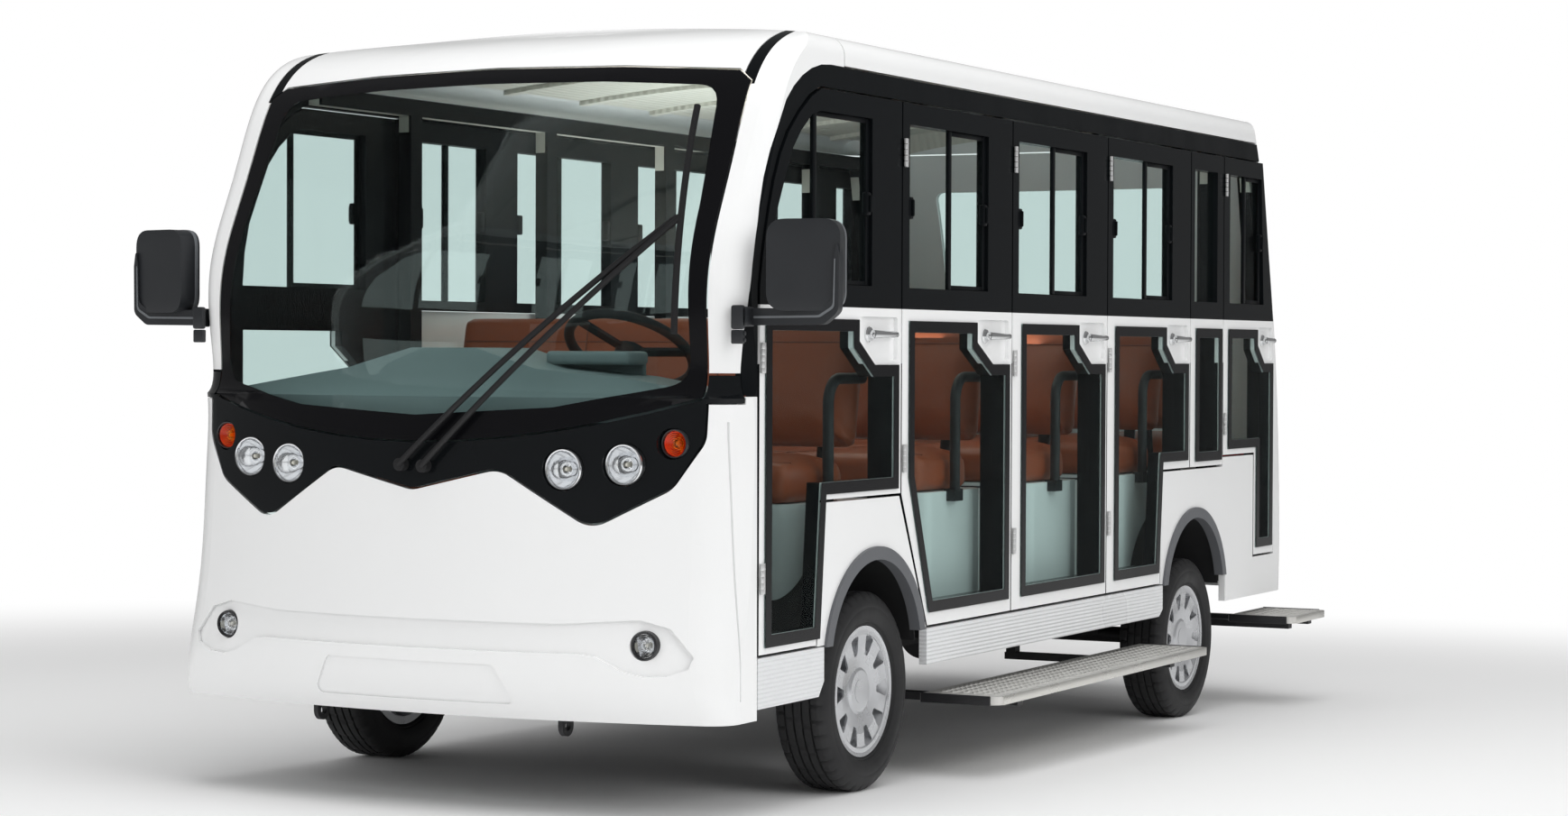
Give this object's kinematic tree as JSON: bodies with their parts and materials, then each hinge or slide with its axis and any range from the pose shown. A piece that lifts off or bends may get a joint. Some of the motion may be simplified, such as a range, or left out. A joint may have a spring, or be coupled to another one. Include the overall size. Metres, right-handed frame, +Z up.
{
  "type": "electric sightseeing bus",
  "caption": "Closed electric sightseeing bus with full-height side doors, wrap-round windscreen, bench seats, side steps, opening doors, steering and rolling wheels.",
  "frame": {"origin": "ground level under the middle of the whole bus", "axes": "+X forward, +Y to the side with the row of doors (left), +Z up; the body is parked 1.2 degrees nose-down over its level axles"},
  "size_m": [4.7565, 2.2472, 2.2195],
  "materials": {
    "white_body": "glossy",
    "gloss_black": "glossy",
    "glass": "clear green tint",
    "cream_lining": "matt",
    "black_steel": "satin",
    "spring_steel": "satin",
    "brushed_strip": "brushed",
    "grey_flare": "satin",
    "black_plastic": "satin",
    "red_lens": "glossy",
    "lamp": "clear",
    "amber_lens": "glossy",
    "grey_plastic": "satin",
    "white_box": "satin",
    "tan_leather": "semi-matt",
    "step_alloy": "chequered",
    "silver_wheel": "silver",
    "tyre": "matt"
  },
  "bodies": {
    "bus_body": {"chassis_frame": "black_steel", "floor_pan": "black_steel", "front_cap": "white_body", "front_mask": "gloss_black", "windscreen": "glass", "front_hoops": "white_body", "roof_skin": "white_body", "roof_lining": "cream_lining", "wing_panels": "white_body", "skirt_strips": "brushed_strip", "arch_flares": "grey_flare", "arch_liners": "black_plastic", "rear_panel": "white_body", "tail_lamps": "red_lens", "head_lamps": "lamp", "turn_lamps": "amber_lens", "door_mirrors": "grey_plastic", "wipers": "black_plastic", "dashboard": "grey_plastic", "seat_boxes": "white_box", "seat_cushions": "tan_leather", "seat_backs": "tan_leather", "grab_rails": "black_steel", "step_plates": "step_alloy", "step_arms": "black_steel", "battery_pack": "black_plastic", "side_frames": "gloss_black", "narrow_panel": "white_body", "window_band": "gloss_black", "fixed_windows": "glass", "front_axle": "black_steel", "rear_axle": "black_steel", "leaf_springs": "spring_steel"},
    "left_door_1": {"door_left_1": "white_body", "door_left_1_glass": "glass"},
    "left_door_2": {"door_left_2": "white_body", "door_left_2_glass": "glass"},
    "left_door_3": {"door_left_3": "white_body", "door_left_3_glass": "glass"},
    "left_door_4": {"door_left_4": "white_body", "door_left_4_glass": "glass"},
    "left_door_5": {"door_left_5": "white_body", "door_left_5_glass": "glass"},
    "right_door": {"door_right": "white_body", "door_right_glass": "glass"},
    "steering": {"steering_wheel": "black_plastic"},
    "left_knuckle": {"knuckle_left": "black_steel"},
    "right_knuckle": {"knuckle_right": "black_steel"},
    "track_rod": {"tie_rod": "black_steel"},
    "wheel_front_left": {"wheel_front_left": "silver_wheel", "tyre_front_left": "tyre"},
    "wheel_front_right": {"wheel_front_right": "silver_wheel", "tyre_front_right": "tyre"},
    "wheel_rear_left": {"wheel_rear_left": "silver_wheel", "tyre_rear_left": "tyre"},
    "wheel_rear_right": {"wheel_rear_right": "silver_wheel", "tyre_rear_right": "tyre"}
  },
  "joints": [
    {"name": "steer_left", "type": "hinge", "parent": "bus_body", "child": "left_knuckle", "pos_m": [1.3325, 0.735, 0.2805], "axis": [0, 0, 1], "range_deg": [-25, 25]},
    {"name": "steer_right", "type": "hinge", "parent": "bus_body", "child": "right_knuckle", "pos_m": [1.3325, -0.735, 0.2805], "axis": [0, 0, 1], "range_deg": [-25, 25]},
    {"name": "track_rod_shift", "type": "slide", "parent": "bus_body", "child": "track_rod", "axis": [0, 1, 0], "range_m": [-0.053, 0.053]},
    {"name": "steering_turn", "type": "hinge", "parent": "bus_body", "child": "steering", "pos_m": [1.85238, 0.37, 1.22432], "axis": [-0.5417, 0, 0.8406], "range_deg": [-301, 301]},
    {"name": "roll_front_left", "type": "hinge", "parent": "left_knuckle", "child": "wheel_front_left", "pos_m": [1.3325, 0.77, 0.2805], "axis": [0, 1, 0], "continuous": true},
    {"name": "roll_front_right", "type": "hinge", "parent": "right_knuckle", "child": "wheel_front_right", "pos_m": [1.3325, -0.77, 0.2805], "axis": [0, 1, 0], "continuous": true},
    {"name": "roll_rear_left", "type": "hinge", "parent": "bus_body", "child": "wheel_rear_left", "pos_m": [-1.2715, 0.77, 0.2805], "axis": [0, 1, 0], "continuous": true},
    {"name": "roll_rear_right", "type": "hinge", "parent": "bus_body", "child": "wheel_rear_right", "pos_m": [-1.2715, -0.77, 0.2805], "axis": [0, 1, 0], "continuous": true},
    {"name": "left_door_1_swing", "type": "hinge", "parent": "bus_body", "child": "left_door_1", "pos_m": [2.04291, 0.88, 0.91326], "axis": [-0.0209, 0, -0.9998], "range_deg": [0, 68]},
    {"name": "left_door_2_swing", "type": "hinge", "parent": "bus_body", "child": "left_door_2", "pos_m": [1.18325, 0.88, 1.36836], "axis": [-0.0209, 0, -0.9998], "range_deg": [0, 80]},
    {"name": "left_door_3_swing", "type": "hinge", "parent": "bus_body", "child": "left_door_3", "pos_m": [0.38581, 0.88, 1.26004], "axis": [-0.0209, 0, -0.9998], "range_deg": [0, 80]},
    {"name": "left_door_4_swing", "type": "hinge", "parent": "bus_body", "child": "left_door_4", "pos_m": [-0.40871, 0.88, 1.29169], "axis": [-0.0209, 0, -0.9998], "range_deg": [0, 80]},
    {"name": "left_door_5_swing", "type": "hinge", "parent": "bus_body", "child": "left_door_5", "pos_m": [-1.54621, 0.88, 1.47055], "axis": [-0.0209, 0, -0.9998], "range_deg": [0, 80]},
    {"name": "right_door_swing", "type": "hinge", "parent": "bus_body", "child": "right_door", "pos_m": [2.04291, -0.88, 0.91326], "axis": [0.0209, 0, 0.9998], "range_deg": [0, 68]}
  ],
  "couplings": [
    {"joint": "steer_right", "follows": "steer_left", "ratio": 1},
    {"joint": "track_rod_shift", "follows": "steer_left", "m_per_rad": -0.12},
    {"joint": "steering_turn", "follows": "steer_left", "ratio": 12}
  ]
}
